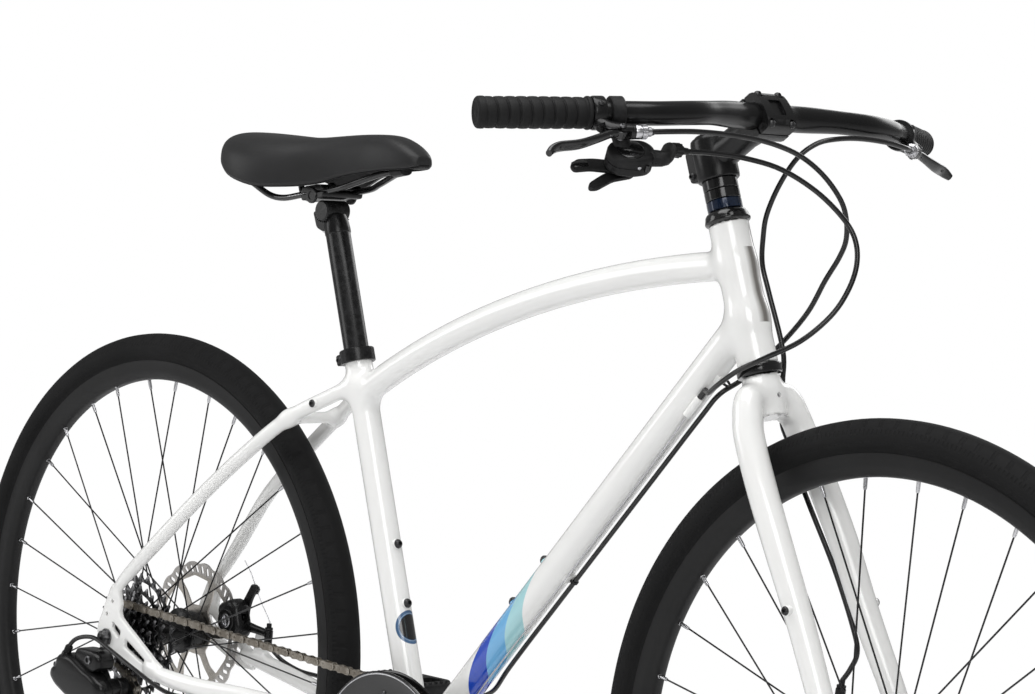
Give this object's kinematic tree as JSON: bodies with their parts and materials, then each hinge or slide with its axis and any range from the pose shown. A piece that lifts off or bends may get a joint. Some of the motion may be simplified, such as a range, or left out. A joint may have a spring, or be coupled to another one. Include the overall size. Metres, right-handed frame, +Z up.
{
  "type": "city bike",
  "caption": "White city bike with a curved top tube, disc brakes, derailleur gears, a guarded chainring, a flat swept bar and a black padded saddle; it steers, rolls, pedals, brakes and shifts.",
  "frame": {"origin": "midway between the wheel axles in the bike's middle plane, on the ground", "axes": "+X forward, +Y to the rider's left, +Z up"},
  "size_m": [1.781, 0.6426, 0.9895],
  "materials": {
    "frame_paint": "gloss white paint",
    "black_alloy": "satin black anodised",
    "black_paint": "gloss black paint",
    "tyre_rubber": "dull black rubber with a fine tread",
    "rotor_steel": "ground steel",
    "drive_steel": "oiled grey-brown steel",
    "bare_alloy": "polished",
    "guard_plastic": "satin black",
    "grip_rubber": "matt black with chevron ribs",
    "control_plastic": "matt black",
    "lever_gloss": "gloss black",
    "saddle_cover": "smooth black synthetic leather",
    "housing_plastic": "black plastic sheath"
  },
  "bodies": {
    "frame": {"head_tube": "frame_paint", "top_tube": "frame_paint", "down_tube": "frame_paint", "seat_tube": "frame_paint", "bottom_bracket_shell": "frame_paint", "chainstay_right": "frame_paint", "chainstay_left": "frame_paint", "seatstays": "frame_paint", "seat_clamp": "black_alloy", "headset_cup_upper": "black_paint", "headset_cup_lower": "black_paint", "rear_axle": "black_paint", "rear_caliper_body": "black_alloy", "chain": "drive_steel", "rear_brake_housing_rear": "housing_plastic", "shift_cable_rear": "housing_plastic", "derailleur_body": "control_plastic"},
    "steering": {"fork": "frame_paint", "stem_body": "black_alloy", "stem_faceplate": "black_alloy", "headset_spacers": "black_paint", "handlebar": "black_alloy", "grip_right": "grip_rubber", "grip_left": "grip_rubber", "lever_perch_right": "control_plastic", "lever_perch_left": "control_plastic", "shifter_body": "control_plastic", "front_caliper_body": "black_alloy", "front_axle": "black_paint", "front_brake_housing": "housing_plastic", "shift_housing_front": "housing_plastic", "rear_brake_housing_front": "housing_plastic"},
    "front_wheel": {"front_hub": "black_alloy", "front_rim": "black_alloy", "front_tyre": "tyre_rubber", "front_rotor": "rotor_steel"},
    "rear_wheel": {"rear_hub": "black_alloy", "rear_rim": "black_alloy", "rear_tyre": "tyre_rubber", "rear_rotor": "rotor_steel"},
    "cassette": {"cassette": "drive_steel"},
    "crankset": {"crank_right": "black_alloy", "crank_left": "black_alloy", "chainring": "drive_steel", "chain_guard": "guard_plastic"},
    "pedal_right": {"pedal_right": "guard_plastic"},
    "pedal_left": {"pedal_left": "guard_plastic"},
    "brake_lever_right": {"brake_lever_right": "lever_gloss"},
    "brake_lever_left": {"brake_lever_left": "lever_gloss"},
    "rear_caliper_arm": {"rear_caliper_arm": "black_alloy"},
    "front_caliper_arm": {"front_caliper_arm": "black_alloy"},
    "shift_thumb_lever": {"shift_thumb_lever": "control_plastic"},
    "shift_release_lever": {"shift_release_lever": "control_plastic"},
    "derailleur_cage": {"derailleur_cage": "control_plastic"},
    "guide_pulley": {"guide_pulley": "guard_plastic"},
    "tension_pulley": {"tension_pulley": "guard_plastic"},
    "seatpost": {"seatpost": "black_alloy"},
    "saddle_cradle": {"saddle_cradle": "black_alloy"},
    "saddle": {"saddle_rails": "black_paint", "saddle": "saddle_cover"}
  },
  "joints": [
    {"name": "steering_turn", "type": "hinge", "parent": "frame", "child": "steering", "pos_m": [0.3344, 0, 0.8], "axis": [-0.3381, 0, 0.9411], "range_deg": [-60, 60], "deforming": ["shift_housing_front", "rear_brake_housing_front"]},
    {"name": "front_wheel_spin", "type": "hinge", "parent": "steering", "child": "front_wheel", "pos_m": [0.5425, 0, 0.348], "axis": [0, 1, 0], "continuous": true},
    {"name": "rear_wheel_spin", "type": "hinge", "parent": "frame", "child": "rear_wheel", "pos_m": [-0.5425, 0, 0.348], "axis": [0, 1, 0], "continuous": true},
    {"name": "crank_spin", "type": "hinge", "parent": "frame", "child": "crankset", "pos_m": [-0.081, 0, 0.278], "axis": [0, 1, 0], "continuous": true},
    {"name": "cassette_spin", "type": "hinge", "parent": "frame", "child": "cassette", "pos_m": [-0.5425, 0, 0.348], "axis": [0, 1, 0], "continuous": true},
    {"name": "pedal_right_spin", "type": "hinge", "parent": "crankset", "child": "pedal_right", "pos_m": [0.08395, -0.0695, 0.23687], "axis": [0, 1, 0], "continuous": true},
    {"name": "pedal_left_spin", "type": "hinge", "parent": "crankset", "child": "pedal_left", "pos_m": [-0.24595, 0.0655, 0.31913], "axis": [0, 1, 0], "continuous": true},
    {"name": "brake_lever_right_pull", "type": "hinge", "parent": "steering", "child": "brake_lever_right", "pos_m": [0.36611, -0.20855, 0.94092], "axis": [-0.5531, 0.3311, -0.7645], "range_deg": [0, 16], "stiffness_Nm_per_rad": 0.8, "springref_deg": -11.46},
    {"name": "brake_lever_left_pull", "type": "hinge", "parent": "steering", "child": "brake_lever_left", "pos_m": [0.36611, 0.20855, 0.94092], "axis": [0.5531, 0.3311, 0.7645], "range_deg": [0, 16], "stiffness_Nm_per_rad": 0.8, "springref_deg": -11.46},
    {"name": "rear_caliper_arm_turn", "type": "hinge", "parent": "frame", "child": "rear_caliper_arm", "pos_m": [-0.472, 0.068, 0.369], "axis": [0, 1, 0], "range_deg": [0, 20]},
    {"name": "front_caliper_arm_turn", "type": "hinge", "parent": "steering", "child": "front_caliper_arm", "pos_m": [0.475, 0.048, 0.388], "axis": [0, 1, 0], "range_deg": [0, 20]},
    {"name": "shift_thumb_push", "type": "hinge", "parent": "steering", "child": "shift_thumb_lever", "pos_m": [0.35997, -0.18876, 0.91796], "axis": [0.5531, -0.3311, 0.7645], "range_deg": [0, 30], "stiffness_Nm_per_rad": 0.15, "springref_deg": -17.19},
    {"name": "shift_release_push", "type": "hinge", "parent": "steering", "child": "shift_release_lever", "pos_m": [0.35997, -0.18876, 0.91796], "axis": [-0.5531, 0.3311, -0.7645], "range_deg": [0, 15], "stiffness_Nm_per_rad": 0.15, "springref_deg": -17.19},
    {"name": "derailleur_cage_swing", "type": "hinge", "parent": "frame", "child": "derailleur_cage", "pos_m": [-0.53, -0.0545, 0.29], "axis": [0, 1, 0], "range_deg": [-12, 0], "stiffness_Nm_per_rad": 0.5, "springref_deg": 17.19, "deforming": ["chain"]},
    {"name": "guide_pulley_spin", "type": "hinge", "parent": "derailleur_cage", "child": "guide_pulley", "pos_m": [-0.5345, -0.049, 0.28], "axis": [0, 1, 0], "continuous": true},
    {"name": "tension_pulley_spin", "type": "hinge", "parent": "derailleur_cage", "child": "tension_pulley", "pos_m": [-0.499, -0.049, 0.229], "axis": [0, 1, 0], "continuous": true},
    {"name": "seatpost_height", "type": "slide", "parent": "frame", "child": "seatpost", "axis": [-0.3041, 0, 0.9526], "range_m": [-0.1, 0.05]},
    {"name": "saddle_tilt", "type": "hinge", "parent": "seatpost", "child": "saddle_cradle", "pos_m": [-0.2665, 0, 0.85], "axis": [0, 1, 0], "range_deg": [-10, 10]},
    {"name": "saddle_set_back", "type": "slide", "parent": "saddle_cradle", "child": "saddle", "axis": [0.989, 0, 0.1477], "range_m": [-0.015, 0.015]}
  ],
  "couplings": [
    {"joint": "cassette_spin", "follows": "crank_spin", "ratio": 2.3333},
    {"joint": "guide_pulley_spin", "follows": "crank_spin", "ratio": -3.8182},
    {"joint": "tension_pulley_spin", "follows": "crank_spin", "ratio": 3.8182},
    {"joint": "rear_caliper_arm_turn", "follows": "brake_lever_right_pull", "ratio": 1.1},
    {"joint": "front_caliper_arm_turn", "follows": "brake_lever_left_pull", "ratio": 1.1}
  ]
}
